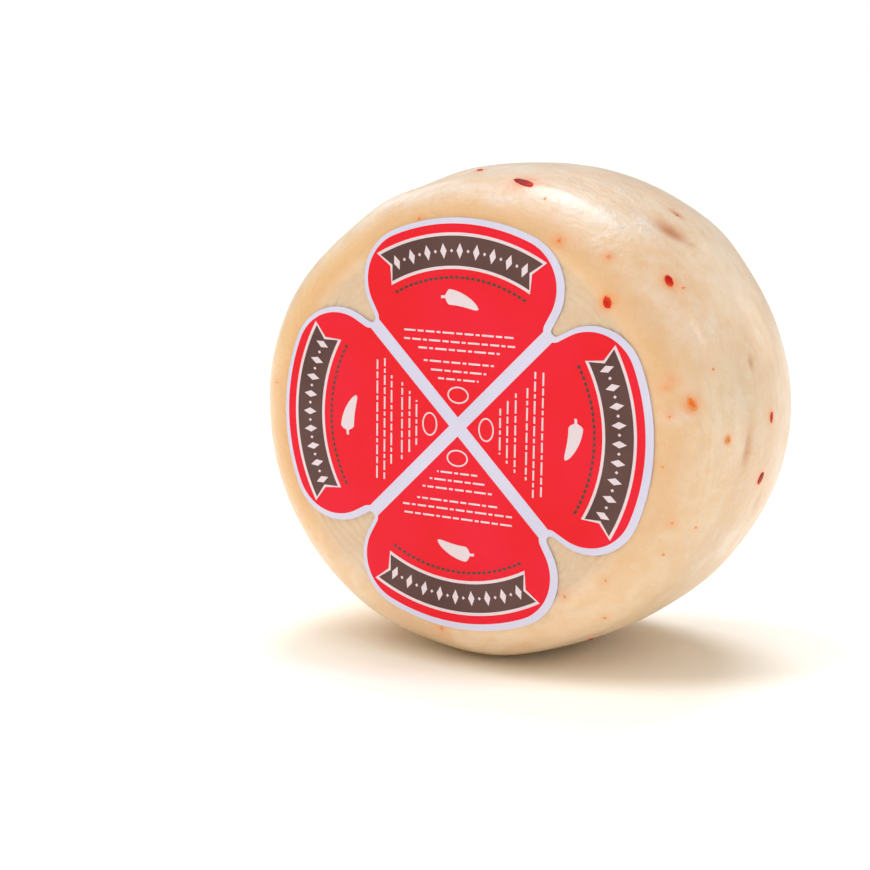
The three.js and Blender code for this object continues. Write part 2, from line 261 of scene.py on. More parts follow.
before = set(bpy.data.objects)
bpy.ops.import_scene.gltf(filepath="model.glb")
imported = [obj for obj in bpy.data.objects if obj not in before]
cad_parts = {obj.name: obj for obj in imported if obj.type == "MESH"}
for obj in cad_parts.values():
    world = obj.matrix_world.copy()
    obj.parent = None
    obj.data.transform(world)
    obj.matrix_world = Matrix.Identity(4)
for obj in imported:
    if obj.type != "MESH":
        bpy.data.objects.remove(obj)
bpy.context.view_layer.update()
label_low, label_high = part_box("label")
AXIS_X = (label_low.x + label_high.x) / 2
AXIS_Z = (label_low.z + label_high.z) / 2
FACE_Y = label_high.y + LABEL_GAP
MIDDLE = Vector((AXIS_X, FACE_Y + HALF_THICKNESS, AXIS_Z))
SHEET_BACK = FACE_Y - 0.06 * MM
SHEET_FRONT = FACE_Y - 0.48 * MM


def srgb(red, green, blue):
    """A colour given as it looks on screen, from 0 to 255, as linear light."""
    shares = [value / 255 for value in (red, green, blue)]
    linear = [s / 12.92 if s <= 0.04045 else ((s + 0.055) / 1.055) ** 2.4 for s in shares]
    return (*linear, 1.0)


# ---- Node trees -------------------------------------------------------------------------------
class Term:
    """An output in a node tree. Sums, products and functions of terms add Math nodes."""

    def __init__(self, tree, socket):
        self.tree = tree
        self.socket = socket

    def math(self, operation, *others):
        return calculate(self.tree, operation, self, *others)

    def __add__(self, other):
        return self.math("ADD", other)

    def __radd__(self, other):
        return self.math("ADD", other)

    def __sub__(self, other):
        return self.math("SUBTRACT", other)

    def __rsub__(self, other):
        return calculate(self.tree, "SUBTRACT", other, self)

    def __mul__(self, other):
        return self.math("MULTIPLY", other)

    def __truediv__(self, other):
        return self.math("DIVIDE", other)

    def __neg__(self):
        return self.math("MULTIPLY", -1.0)

    def __pow__(self, other):
        return self.math("POWER", other)


def feed(tree, socket, value):
    if isinstance(value, Term):
        tree.links.new(value.socket, socket)
    else:
        socket.default_value = value


def calculate(tree, operation, *values):
    node = tree.nodes.new("ShaderNodeMath")
    node.operation = operation
    for socket, value in zip(node.inputs, values):
        feed(tree, socket, value)
    return Term(tree, node.outputs[0])


class Pen:
    """Writes nodes into one tree."""

    def __init__(self, tree):
        self.tree = tree

    def add(self, kind, feeds=None, out=0, **settings):
        node = self.tree.nodes.new(kind)
        for name, value in settings.items():
            setattr(node, name, value)
        for name, value in (feeds or {}).items():
            feed(self.tree, node.inputs[name], value)
        return Term(self.tree, node.outputs[out]) if len(node.outputs) else node

    def vector(self, operation, *values, out=0):
        node = self.tree.nodes.new("ShaderNodeVectorMath")
        node.operation = operation
        for socket, value in zip(node.inputs, values):
            feed(self.tree, socket, value)
        return Term(self.tree, node.outputs[out])

    def dot(self, a, b):
        return self.vector("DOT_PRODUCT", a, b, out="Value")

    def length(self, a):
        return self.vector("LENGTH", a, out="Value")

    def split(self, vector):
        node = self.add("ShaderNodeSeparateXYZ", {"Vector": vector}).socket.node
        return [Term(self.tree, output) for output in node.outputs]

    def join(self, x, y, z):
        return self.add("ShaderNodeCombineXYZ", {"X": x, "Y": y, "Z": z})

    def noise(self, place, scale, detail=2.0, roughness=0.5, distortion=0.0):
        return self.add("ShaderNodeTexNoise", {
            "Vector": place, "Scale": scale, "Detail": detail, "Roughness": roughness,
            "Distortion": distortion})

    def ramp(self, value, low, high, to_low=0.0, to_high=1.0):
        """Smoothly from to_low where value is low, to to_high where it is high."""
        return self.add("ShaderNodeMapRange", {
            "Value": value, "From Min": low, "From Max": high, "To Min": to_low,
            "To Max": to_high}, interpolation_type="SMOOTHSTEP")

    def mix(self, share, first, second, blend="MIX"):
        node = self.tree.nodes.new("ShaderNodeMix")
        node.data_type = "RGBA"
        node.blend_type = blend
        feed(self.tree, node.inputs[0], share)
        feed(self.tree, node.inputs[6], first)
        feed(self.tree, node.inputs[7], second)
        return Term(self.tree, node.outputs[2])


def new_shape_tree(name, inputs):
    """A Geometry Nodes tree with named inputs. Gives its pen, its inputs and its output node."""
    tree = bpy.data.node_groups.new(name, "GeometryNodeTree")
    tree.interface.new_socket("Geometry", in_out="INPUT", socket_type="NodeSocketGeometry")
    for label, kind in inputs.items():
        tree.interface.new_socket(label, in_out="INPUT", socket_type="NodeSocket" + kind)
    tree.interface.new_socket("Geometry", in_out="OUTPUT", socket_type="NodeSocketGeometry")
    start = tree.nodes.new("NodeGroupInput")
    end = tree.nodes.new("NodeGroupOutput")
    given = {output.name: Term(tree, output) for output in start.outputs if output.name}
    return Pen(tree), given, end


def finish_tree(pen, shape, material, end):
    """Realizes what the tree made and gives it its material."""
    real = pen.add("GeometryNodeRealizeInstances", {"Geometry": shape})
    done = pen.add("GeometryNodeSetMaterial", {"Geometry": real, "Material": material})
    feed(pen.tree, end.inputs[0], done)


def grow(name, tree, values, start=None):
    """Runs a tree on a starting mesh and keeps the result as a plain mesh."""
    holder = bpy.data.objects.new(name + "_start", start or bpy.data.meshes.new(name))
    bpy.context.scene.collection.objects.link(holder)
    modifier = holder.modifiers.new(name, "NODES")
    modifier.node_group = tree
    for item in tree.interface.items_tree:
        if item.in_out == "INPUT" and item.name in values:
            modifier[item.identifier] = values[item.name]
    view = bpy.context.evaluated_depsgraph_get()
    mesh = bpy.data.meshes.new_from_object(holder.evaluated_get(view))
    holder.modifiers.remove(modifier)
    bpy.data.objects.remove(holder)
    return add_piece(name, mesh)


def add_piece(name, mesh):
    mesh.name = name
    piece = bpy.data.objects.new(name, mesh)
    bpy.context.scene.collection.objects.link(piece)
    return piece


# ---- Materials --------------------------------------------------------------------------------
def new_group(name, inputs, outputs):
    """A shader node group with named inputs and outputs. Gives its pen, inputs and end node."""
    tree = bpy.data.node_groups.new(name, "ShaderNodeTree")
    for label in inputs:
        tree.interface.new_socket(label, in_out="INPUT", socket_type="NodeSocketFloat")
    for label, kind in outputs.items():
        tree.interface.new_socket(label, in_out="OUTPUT", socket_type="NodeSocket" + kind)
    start = tree.nodes.new("NodeGroupInput")
    end = tree.nodes.new("NodeGroupOutput")
    given = {output.name: Term(tree, output) for output in start.outputs if output.name}
    return Pen(tree), given, end


def new_grain_group():
    """Fine unevenness of a surface, as a bumped normal and a mask of its hollows."""
    pen, given, end = new_group(
        "fine grain", ["Scale", "Depth"], {"Normal": "Vector", "Hollows": "Float"})
    place = pen.add("ShaderNodeTexCoord", out="Object")
    coarse = pen.noise(place, given["Scale"], detail=3.0)
    fine = pen.noise(place, given["Scale"] * 4.0, detail=2.0)
    height = coarse * 0.7 + fine * 0.3
    bump = pen.add("ShaderNodeBump", {
        "Height": height, "Distance": given["Depth"], "Strength": 1.0})
    feed(pen.tree, end.inputs["Normal"], bump)
    feed(pen.tree, end.inputs["Hollows"], 1.0 - height)
    return pen.tree


def new_material(name):
    material = bpy.data.materials.new(name)
    material.use_nodes = True
    tree = material.node_tree
    shader = tree.nodes["Principled BSDF"]
    return material, Pen(tree), shader


def grain(pen, group, scale, depth, out):
    node = pen.tree.nodes.new("ShaderNodeGroup")
    node.node_tree = group
    node.inputs["Scale"].default_value = scale
    node.inputs["Depth"].default_value = depth
    return Term(pen.tree, node.outputs[out])


def shade(pen, shader, **feeds):
    """Feeds the Principled shader; Base_Color stands for the socket Base Color."""
    for name, value in feeds.items():
        feed(pen.tree, shader.inputs[name.replace("_", " ")], value)


def rind_bump(pen, place, face, haze_and_sheen, grain_normal):
    """Rings and a woven grain pressed into the flat faces, fine pits in the coating elsewhere."""
    x, _, z = pen.split(pen.vector("SUBTRACT", place, tuple(MIDDLE)))
    from_axis = (x * x + z * z).math("SQRT")
    wobble = (pen.noise(place, 40.0, detail=2.0) - 0.5) * MOULD_RING_WOBBLE
    rings = ((from_axis + wobble) * (TURN / MOULD_RING_SPACING)).math("SINE")
    rings = rings * pen.ramp(from_axis, *MOULD_RINGS_CLEAR, 0.25, 1.0)
    clock = pen.join(x / from_axis * MOULD_SPOKES, from_axis * MOULD_SPOKE_RUN,
                     z / from_axis * MOULD_SPOKES)
    spokes = pen.noise(clock, 1.0, detail=3.0, roughness=0.6)
    off_axis = pen.ramp(from_axis, *MOULD_CENTRE)
    on_face = (rings * 0.3 + spokes * 1.3) * face * off_axis

    pits = pen.noise(place, 520.0, detail=3.0, roughness=0.6)
    ripples = pen.noise(place, 230.0, detail=2.0, roughness=0.5)
    on_heel = (pits * (0.8 + haze_and_sheen * 1.1) + ripples * 1.4) * (1.0 - face)
    return pen.add("ShaderNodeBump", {
        "Height": on_face + on_heel, "Distance": COATING_RELIEF, "Normal": grain_normal})


def make_rind_material(grain_group):
    """Pale oiled rind: cream to amber with a painted warm glow on the upper left rim, hazed here
    and there with some painted highlights, darkened by painted shade in broad spots on the right,
    stained orange round the chilli.
    """
    material, pen, shader = new_material("rind")
    tints = {name: srgb(*colour) for name, colour in RIND_COLOURS.items()}
    place = pen.add("ShaderNodeTexCoord", out="Object")
    marks = {name: pen.add("ShaderNodeAttribute", out="Fac", attribute_name=name)
             for name in ("face", "amber_and_rim_light", "haze_and_sheen", "stain", "bruise", "painted_shade")}

    # Cream in broad clouds, with faint streaks and a thin veil drawn out round the heel.
    broad = pen.noise(place, 20.0, detail=3.0, roughness=0.55)
    colour = pen.mix(pen.ramp(broad, 0.36, 0.66), tints["deep cream"], tints["cream"])
    round_heel = pen.vector("MULTIPLY", place, (14.0, 95.0, 14.0))
    streaks = pen.ramp(pen.noise(round_heel, 1.0, detail=3.0), 0.52, 0.72)
    colour = pen.mix(streaks * 0.25, colour, tints["streak"])
    fine_round = pen.vector("MULTIPLY", place, (45.0, 300.0, 45.0))
    veil = pen.ramp(pen.noise(fine_round, 1.0, detail=3.0, distortion=0.5), 0.5, 0.68)
    colour = pen.mix(veil * (0.32 - marks["amber_and_rim_light"] * 0.2), colour, tints["veil"])

    # Amber edges that also paint a warm glow of light, paler flat faces and broad spots of
    # painted shade, then the hazed patches of the coating, some of them painted highlights.
    colour = pen.mix(marks["amber_and_rim_light"] * 0.82, colour, tints["amber_and_rim_light"])
    colour = pen.mix(marks["face"] * (1.0 - marks["amber_and_rim_light"]) * 0.75, colour, tints["flat face"])
    colour = pen.mix(marks["painted_shade"], colour, tints["painted_shade"])
    patchy = pen.ramp(pen.noise(place, 110.0, detail=4.0, distortion=0.8), 0.34, 0.62)
    clouds = pen.ramp(pen.noise(place, 42.0, detail=4.0, distortion=0.6), 0.56, 0.76)
    haze_and_sheen = pen.add("ShaderNodeClamp", {"Value": marks["haze_and_sheen"] * (0.3 + patchy * 0.7)
                                       + clouds * (1.0 - marks["amber_and_rim_light"]) * 0.3})
    colour = pen.mix(haze_and_sheen * 0.8, colour, tints["haze_and_sheen"])

    # Small deep and pale blotches, browned dents and the chilli's stains.
    blotches = pen.noise(place, 190.0, detail=2.0)
    deeper = pen.ramp(blotches, 0.46, 0.72) * (1.0 - marks["face"] * 0.6)
    colour = pen.mix(deeper * 0.32, colour, tints["deep blotch"])
    pale = pen.ramp(blotches, 0.52, 0.3) * (1.0 - marks["amber_and_rim_light"]) * (1.0 - marks["face"] * 0.6)
    colour = pen.mix(pale * 0.24, colour, tints["pale blotch"])
    colour = pen.mix(marks["bruise"] * 0.95, colour, tints["bruise"])
    colour = pen.mix(marks["stain"], colour, tints["stain"])

    sheen_patches = pen.noise(place, 60.0, detail=3.0)
    roughness = pen.ramp(sheen_patches, 0.3, 0.7, 0.36, 0.52)
    fine = grain(pen, grain_group, 300.0, 0.14 * MM, "Normal")
    shade(pen, shader, Base_Color=colour, Roughness=roughness + marks["face"] * 0.1,
          Subsurface_Weight=0.25, Subsurface_Radius=(1.0, 0.5, 0.25),
          Subsurface_Scale=2.5 * MM, Coat_Weight=0.4 - marks["face"] * 0.25,
          Coat_Roughness=0.2,
          Normal=rind_bump(pen, place, marks["face"], marks["haze_and_sheen"], fine))
    return material


def make_chilli_material(grain_group):
    """Dried chilli: maroon, red or orange by the flake's tone, under the clear coating."""
    material, pen, shader = new_material("chilli")
    place = pen.add("ShaderNodeTexCoord", out="Object")
    tone = pen.add("ShaderNodeAttribute", out="Fac", attribute_name="tone")
    uneven = tone + (pen.noise(place, 700.0, detail=2.0) - 0.5) * 0.35
    ramp = pen.add("ShaderNodeValToRGB", {"Fac": uneven})
    steps = ramp.socket.node.color_ramp
    for position, colour in CHILLI_COLOURS[1:-1]:
        steps.elements.new(position).color = srgb(*colour)
    steps.elements[0].color = srgb(*CHILLI_COLOURS[0][1])
    steps.elements[-1].color = srgb(*CHILLI_COLOURS[-1][1])
    shade(pen, shader, Base_Color=ramp, Roughness=0.5, Specular_IOR_Level=0.12,
          Coat_Weight=0.08, Coat_Roughness=0.2,
          Normal=grain(pen, grain_group, 900.0, 0.15 * MM, "Normal"))
    return material


def make_paper_material(name, grain_group):
    """Smooth coated paper, bare or printed, a little paler in patches."""
    material, pen, shader = new_material(name)
    plain, pale = LABEL_COLOURS[name]
    place = pen.add("ShaderNodeTexCoord", out="Object")
    patches = pen.ramp(pen.noise(place, 30.0, detail=2.0), 0.35, 0.7)
    # The grain's hollows are darkened a little: painted shade.
    hollow_shade = grain(pen, grain_group, 1600.0, 0.02 * MM, "Hollows")
    colour = pen.mix(patches, srgb(*plain), srgb(*pale))
    colour = pen.mix(hollow_shade * 0.06, colour, srgb(*HOLLOW_SHADE_COLOUR))
    shade(pen, shader, Base_Color=colour, Roughness=0.5, Specular_IOR_Level=0.25,
          Normal=grain(pen, grain_group, 1600.0, 0.02 * MM, "Normal"))
    return material


# ---- The wheel --------------------------------------------------------------------------------
def oval_share(turn):
    return 1 + sum(c * math.cos(w * turn) + s * math.sin(w * turn) for w, c, s in OVAL)


def heel_radius(depth):
    """The heel's radius at a depth along the axis, rounded in at both shoulders."""
    bulge = BELLY_RADIUS - (BELLY_RADIUS - EDGE_RADIUS) * (depth / HALF_THICKNESS) ** 2
    up = max(0.0, 1 - (HALF_THICKNESS - abs(depth)) / SHOULDER_REACH)
    return bulge - SHOULDER_INSET * (1 - math.sqrt(1 - up * up))


def on_smooth_heel(turn, depth):
    """A point of the heel before any lump, from its angle in radians and its depth."""
    radius = heel_radius(depth) * oval_share(turn)
    return MIDDLE + Vector((radius * math.cos(turn), depth, radius * math.sin(turn)))


def lean_direction(turn, lean):
    """A direction on the heel: 0 is along the axis, 90 is round it."""
    angle = math.radians(lean)
    round_heel = Vector((-math.sin(turn), 0, math.cos(turn)))
    return Vector((0, math.cos(angle), 0)) + round_heel * math.sin(angle)


def draw_half_profile(pen, given, share):
    """Heel, quarter-round shoulder and flat face: depth, radius and how far in on the face."""
    flat = given["Half Thickness"] - given["Shoulder Reach"]
    heel = (share / HEEL_SHARE).math("MINIMUM", 1.0)
    rounding = pen.add("ShaderNodeClamp", {
        "Value": (share - HEEL_SHARE) / (SHOULDER_SHARE - HEEL_SHARE)}) * (TURN / 4)
    inwards = pen.add("ShaderNodeClamp", {
        "Value": (share - SHOULDER_SHARE) / (1 - SHOULDER_SHARE)})
    depth = heel * flat + rounding.math("SINE") * given["Shoulder Reach"]
    narrowing = given["Belly Radius"] - given["Edge Radius"]
    bulge = given["Belly Radius"] - narrowing * (depth / given["Half Thickness"]) ** 2.0
    full = bulge - given["Shoulder Inset"] * (1.0 - rounding.math("COSINE"))
    return depth, full, inwards


def draw_oval(pen, turn):
    """How much wider or narrower the wheel is, all round."""
    oval = pen.add("ShaderNodeValue") * 0.0 + 1.0
    for waves, cosine, sine in OVAL:
        wave = turn * float(waves)
        oval = oval + wave.math("COSINE") * cosine + wave.math("SINE") * sine
    return oval


def lump_and_dent(pen, smooth):
    """How far the lumps raise the smooth heel and the dents sink it."""
    lift = pen.add("ShaderNodeValue") * 0.0
    for degrees, depth, height, reach in LUMPS:
        centre = on_smooth_heel(math.radians(degrees), depth * MM)
        away = pen.length(pen.vector("SUBTRACT", smooth, tuple(centre))) / (reach * MM)
        lift = lift + (-(away * away)).math("EXPONENT") * (height * MM)
    for degrees, depth, long, wide, lean, sink, _ in DENTS:
        angle = math.radians(degrees)
        centre = on_smooth_heel(angle, depth * MM)
        from_centre = pen.vector("SUBTRACT", smooth, tuple(centre))
        run = pen.dot(from_centre, tuple(lean_direction(angle, lean))) / (long * MM)
        cross = pen.dot(from_centre, tuple(lean_direction(angle, lean + 90))) / (wide * MM)
        near = pen.length(from_centre) / (DENT_REACH * long * MM)
        fall = (-(run * run + cross * cross + near * near)).math("EXPONENT")
        lift = lift - fall * (sink * MM)
    return lift


def add_fine_relief(pen, given, wheel, place):
    """Small unevenness along the surface's own direction, less on the flat faces."""
    stored = pen.add("GeometryNodeInputNamedAttribute", {"Name": "face"}, data_type="FLOAT")
    hand = (pen.noise(place, 24.0, detail=1.0) - 0.5) * 1.4
    hand = hand + (pen.noise(place, 70.0, detail=2.0) - 0.5) * 0.55
    hand = hand + (pen.noise(place, 260.0, detail=2.0) - 0.5) * 0.16
    on_face = (pen.noise(place, 60.0, detail=2.0) - 1.0) * given["Grain Depth"]
    relief = stored * on_face + (1.0 - stored) * hand * given["Unevenness"]
    offset = pen.vector("SCALE", pen.add("GeometryNodeInputNormal"))
    feed(pen.tree, offset.socket.node.inputs["Scale"], relief)
    return pen.add("GeometryNodeSetPosition", {"Geometry": wheel, "Offset": offset})


def press_flat(pen, given, wheel, place):
    """The wheel's own weight presses a small flat where it stands."""
    x, y, z = pen.split(place)
    rested = pen.join(x, y, z.math("MAXIMUM", given["Rest Height"]))
    return pen.add("GeometryNodeSetPosition", {"Geometry": wheel, "Position": rested})


def make_wheel_tree():
    pen, given, end = new_shape_tree("caciotta wheel", {
        "Belly Radius": "Float", "Edge Radius": "Float", "Half Thickness": "Float",
        "Shoulder Reach": "Float", "Shoulder Inset": "Float", "Round Steps": "Int",
        "Profile Steps": "Int", "Unevenness": "Float", "Grain Depth": "Float",
        "Rest Height": "Float", "Material": "Material"})
    grid = pen.add("GeometryNodeMeshGrid", {
        "Size X": 1.0, "Size Y": 2.0, "Vertices X": given["Round Steps"] + 1.0,
        "Vertices Y": given["Profile Steps"] + 1.0})
    place = pen.add("GeometryNodeInputPosition")
    across, along, _ = pen.split(place)
    turn = across * -TURN
    side = along.math("SIGN")
    depth, full, inwards = draw_half_profile(pen, given, along.math("ABSOLUTE"))
    inner = 1.0 - inwards
    radius = full * inner * draw_oval(pen, turn)

    def on_wheel(reach):
        return pen.vector("ADD", tuple(MIDDLE), pen.join(
            reach * turn.math("COSINE"), side * depth, reach * turn.math("SINE")))

    shaped = on_wheel(radius + lump_and_dent(pen, on_wheel(radius)) * inner)
    wheel = pen.add("GeometryNodeStoreNamedAttribute", {
        "Geometry": grid, "Name": "face", "Value": pen.ramp(inwards, 0.0, 0.06)},
        data_type="FLOAT")
    wheel = pen.add("GeometryNodeSetPosition", {"Geometry": wheel, "Position": shaped})
    wheel = pen.add("GeometryNodeMergeByDistance", {
        "Geometry": wheel, "Distance": 0.001 * MM})
    wheel = add_fine_relief(pen, given, wheel, place)
    wheel = press_flat(pen, given, wheel, place)
    wheel = pen.add("GeometryNodeSetShadeSmooth", {"Geometry": wheel})
    finish_tree(pen, wheel, given["Material"], end)
    return pen.tree


def make_wheel(material):
    return grow("wheel_rind", make_wheel_tree(), {
        "Belly Radius": BELLY_RADIUS, "Edge Radius": EDGE_RADIUS,
        "Half Thickness": HALF_THICKNESS, "Shoulder Reach": SHOULDER_REACH,
        "Shoulder Inset": SHOULDER_INSET, "Round Steps": ROUND_STEPS,
        "Profile Steps": PROFILE_STEPS, "Unevenness": 0.5 * MM, "Grain Depth": 0.4 * MM,
        "Rest Height": 0.0, "Material": material})


# ---- Chilli in the rind -----------------------------------------------------------------------
def seeded_draw(seed):
    """A seeded source of numbers from 0 to 1."""
    state = seed

    def draw():
        nonlocal state
        state = (state * 1664525 + 1013904223) % 2 ** 32
        return state / 2 ** 32

    return draw


class Rind:
    """Finds places on the finished wheel."""

    def __init__(self, wheel):
        faces = [tuple(polygon.vertices) for polygon in wheel.data.polygons]
        self.tree = BVHTree.FromPolygons([v.co for v in wheel.data.vertices], faces)

    def on_heel(self, turn, depth, lean):
        place, out, _, _ = self.tree.find_nearest(on_smooth_heel(turn, depth))
        return place, out, lean_direction(turn, lean)

    def on_face(self, turn, radius, lean, side):
        """A place on the front face (side -1) or on the back face (side 1)."""
        outwards = Vector((math.cos(turn), 0, math.sin(turn)))
        start = MIDDLE + Vector((0, side * THICKNESS, 0)) + outwards * radius
        place, out, _, _ = self.tree.ray_cast(start, Vector((0, -side, 0)))
        round_axis = Vector((-math.sin(turn), 0, math.cos(turn)))
        angle = math.radians(lean)
        return place, out, outwards * math.cos(angle) + round_axis * math.sin(angle)


def draw_corners(draw):
    """Uneven corners of one flake, as (angle, reach) pairs."""
    corners = []
    for corner in range(FLAKE_CORNERS):
        angle = (corner + 0.5 * draw()) / FLAKE_CORNERS * TURN
        corners.append((angle, 0.8 + 0.3 * draw()))
    return corners


def flake_outline(corners, long, wide):
    """The corners' outline with a nick or a bulge between each two."""
    outline = []
    for index, (angle, reach) in enumerate(corners):
        next_angle, next_reach = corners[(index + 1) % FLAKE_CORNERS]
        next_angle += TURN if index == FLAKE_CORNERS - 1 else 0
        middle = (angle + next_angle) / 2
        nick = 0.94 + 0.1 * math.sin(7 * angle + 5 * reach)
        for spot, far in ((angle, reach), (middle, (reach + next_reach) / 2 * nick)):
            outline.append((0.5 * long * far * math.cos(spot), 0.5 * wide * far * math.sin(spot)))
    return outline


def add_flake(bm, spot, outline, long, stand, root, tones):
    """A chip with its root sunk in the rind and a worn, slightly dished top."""
    place, out, run = spot
    across = out.cross(run).normalized()
    run = across.cross(out).normalized()
    tone_layer = bm.verts.layers.float["tone"]
    rings = [(-root, 1.0)] + [(stand * height, share) for height, share in FLAKE_RINGS]
    loops = []
    for height, share in rings:
        loop = []
        for x, y in outline:
            vertex = bm.verts.new(place + run * (x * share) + across * (y * share) + out * height)
            along = tones[0] + (tones[1] - tones[0]) * (0.5 + x / long)
            vertex[tone_layer] = min(along + FLAKE_EDGE_TONE * share ** 4, PALEST_FLAKE)
            loop.append(vertex)
        loops.append(loop)
    count = len(outline)
    for low, high in zip(loops, loops[1:]):
        for i in range(count):
            j = (i + 1) % count
            bm.faces.new((low[i], low[j], high[j], high[i]))
    for loop, height, flip in ((loops[0], -root, True), (loops[-1], stand * 0.8, False)):
        hub = bm.verts.new(place + out * height)
        hub[tone_layer] = sum(tones) / 2 - FLAKE_EDGE_TONE / 2
        for i in range(count):
            j = (i + 1) % count
            bm.faces.new((loop[j], loop[i], hub) if flip else (loop[i], loop[j], hub))


def spread_spots(rind, draw):
    """A golden-angle spiral over the heel that is turned away, then over the back face."""
    heel = []
    index = 0
    while len(heel) < SPREAD_HEEL_COUNT:
        turn = math.degrees(index * GOLDEN_TURN % TURN)
        depth = (draw() - 0.5) * (THICKNESS - SHOULDER_REACH)
        lean = draw() * 180
        signed = turn - 360 if turn > 180 else turn
        in_view = SHOWN_SIDE["from_turn"] < signed < SHOWN_SIDE["to_turn"]
        shown = in_view and depth < SHOWN_SIDE["to_depth"] * MM
        shown = shown or depth < SHOWN_SIDE["rim_depth"] * MM
        if not shown and abs(turn - 270) >= REST_CLEARANCE_TURN:
            heel.append(rind.on_heel(math.radians(turn), depth, lean))
        index += 1
    back = []
    for index in range(SPREAD_BACK_COUNT):
        radius = BACK_FACE_REACH * math.sqrt((index + 0.5) / SPREAD_BACK_COUNT)
        back.append(rind.on_face(index * GOLDEN_TURN % TURN, radius, draw() * 180, 1))
    return [heel, back]


def plan_flakes(rind):
    """Every flake as (spot, corners, length, width, tones), by the seeded rule."""
    draw = seeded_draw(FLAKE_SEED)
    flakes = []
    for turn, depth, long, wide, lean, tone_back, tone_front in HEEL_FLAKES:
        spot = rind.on_heel(math.radians(turn), depth * MM, lean)
        flakes.append((spot, draw_corners(draw), long * MM, wide * MM, (tone_back, tone_front)))
    for turn, radius, long, wide, lean, tone_back, tone_front in FACE_FLAKES:
        spot = rind.on_face(math.radians(turn), radius * MM, lean, -1)
        flakes.append((spot, draw_corners(draw), long * MM, wide * MM, (tone_back, tone_front)))
    for spots in spread_spots(rind, draw):
        for index, spot in enumerate(spots):
            size = 1 - index / len(spots)
            long = SPREAD_SHORTEST + (SPREAD_LONGEST - SPREAD_SHORTEST) * size * size
            wide = long * (0.45 + 0.35 * draw())
            tone = 0.15 + 0.75 * (index * TONE_STEP % 1)
            flakes.append((spot, draw_corners(draw), long * MM, wide * MM, (tone, tone * 0.8)))
    return flakes


def new_chip_mesh():
    bm = bmesh.new()
    bm.verts.layers.float.new("tone")
    return bm


def keep_mesh(bm, name, material):
    mesh = bpy.data.meshes.new(name)
    bm.normal_update()
    bm.to_mesh(mesh)
    bm.free()
    mesh.materials.append(material)
    return add_piece(name, mesh)


def make_flakes(flakes, material):
    bm = new_chip_mesh()
    for spot, corners, long, wide, tones in flakes:
        outline = flake_outline(corners, long, wide)
        add_flake(bm, spot, outline, long, FLAKE_STAND, FLAKE_ROOT, tones)
    return keep_mesh(bm, "chilli_flakes", material)


def plan_crumbs(rind):
    """Every crumb as (spot, size, tone, halo)."""
    crumbs = []
    for turn, depth, size, tone, halo in CRUMBS:
        crumbs.append((rind.on_heel(math.radians(turn), depth * MM, 0), size * MM, tone, halo))
    for turn, radius, size, tone, halo in FACE_CRUMBS:
        spot = rind.on_face(math.radians(turn), radius * MM, 0, -1)
        crumbs.append((spot, size * MM, tone, halo))
    return crumbs


def make_crumbs(crumbs, material):
    bm = new_chip_mesh()
    draw = seeded_draw(FLAKE_SEED + 1)
    for spot, long, tone, _ in crumbs:
        outline = flake_outline(draw_corners(draw), long, long * (0.5 + 0.3 * draw()))
        add_flake(bm, spot, outline, long, CRUMB_STAND, CRUMB_ROOT, (tone, tone))
    return keep_mesh(bm, "chilli_crumbs", material)


def make_speck_tree():
    """Tiny specks of chilli strewn over the sides of the wheel that are turned away."""
    pen, given, end = new_shape_tree("chilli specks", {
        "Specks per Square Metre": "Float", "Seed": "Int", "Smallest": "Float",
        "Largest": "Float", "Shown From": "Vector", "Material": "Material"})
    normal = pen.add("GeometryNodeInputNormal")
    hidden = pen.dot(normal, given["Shown From"]).math("LESS_THAN", SPECK_EDGE)
    _, _, height = pen.split(pen.add("GeometryNodeInputPosition"))
    clear_of_rest = height.math("GREATER_THAN", SPECK_REST_CLEARANCE)
    strewn = pen.add("GeometryNodeDistributePointsOnFaces", {
        "Mesh": given["Geometry"], "Selection": hidden * clear_of_rest,
        "Density": given["Specks per Square Metre"], "Seed": given["Seed"]},
        distribute_method="RANDOM")
    rotation = Term(pen.tree, strewn.socket.node.outputs["Rotation"])

    def chance(low, high, seed):
        node = pen.tree.nodes.new("FunctionNodeRandomValue")
        node.data_type = "FLOAT"
        feed(pen.tree, node.inputs[2], low)
        feed(pen.tree, node.inputs[3], high)
        feed(pen.tree, node.inputs[8], seed)
        return Term(pen.tree, node.outputs[1])

    spin = pen.add("FunctionNodeEulerToRotation", {
        "Euler": pen.join(0.0, 0.0, chance(0.0, TURN, 1))})
    turned = pen.add("FunctionNodeRotateRotation", {
        "Rotation": rotation, "Rotate By": spin}, rotation_space="LOCAL")
    size = chance(given["Smallest"], given["Largest"], 2)
    speck = pen.add("GeometryNodeMeshIcoSphere", {"Radius": 0.5, "Subdivisions": 1})
    placed = pen.add("GeometryNodeInstanceOnPoints", {
        "Points": strewn, "Instance": speck, "Rotation": turned,
        "Scale": pen.join(size, size * chance(0.45, 0.9, 3), size * 0.25)})
    toned = pen.add("GeometryNodeStoreNamedAttribute", {
        "Geometry": placed, "Name": "tone", "Value": chance(0.2, 1.0, 4)},
        data_type="FLOAT", domain="INSTANCE")
    finish_tree(pen, toned, given["Material"], end)
    return pen.tree


def make_specks(wheel, material):
    shown_from = (math.sin(CAMERA_TURN), -math.cos(CAMERA_TURN), SHOWN_RISE)
    return grow("chilli_specks", make_speck_tree(), {
        "Specks per Square Metre": 1500.0, "Seed": 7, "Smallest": 0.5 * MM,
        "Largest": 1.5 * MM, "Shown From": shown_from, "Material": material},
        start=wheel.data.copy())


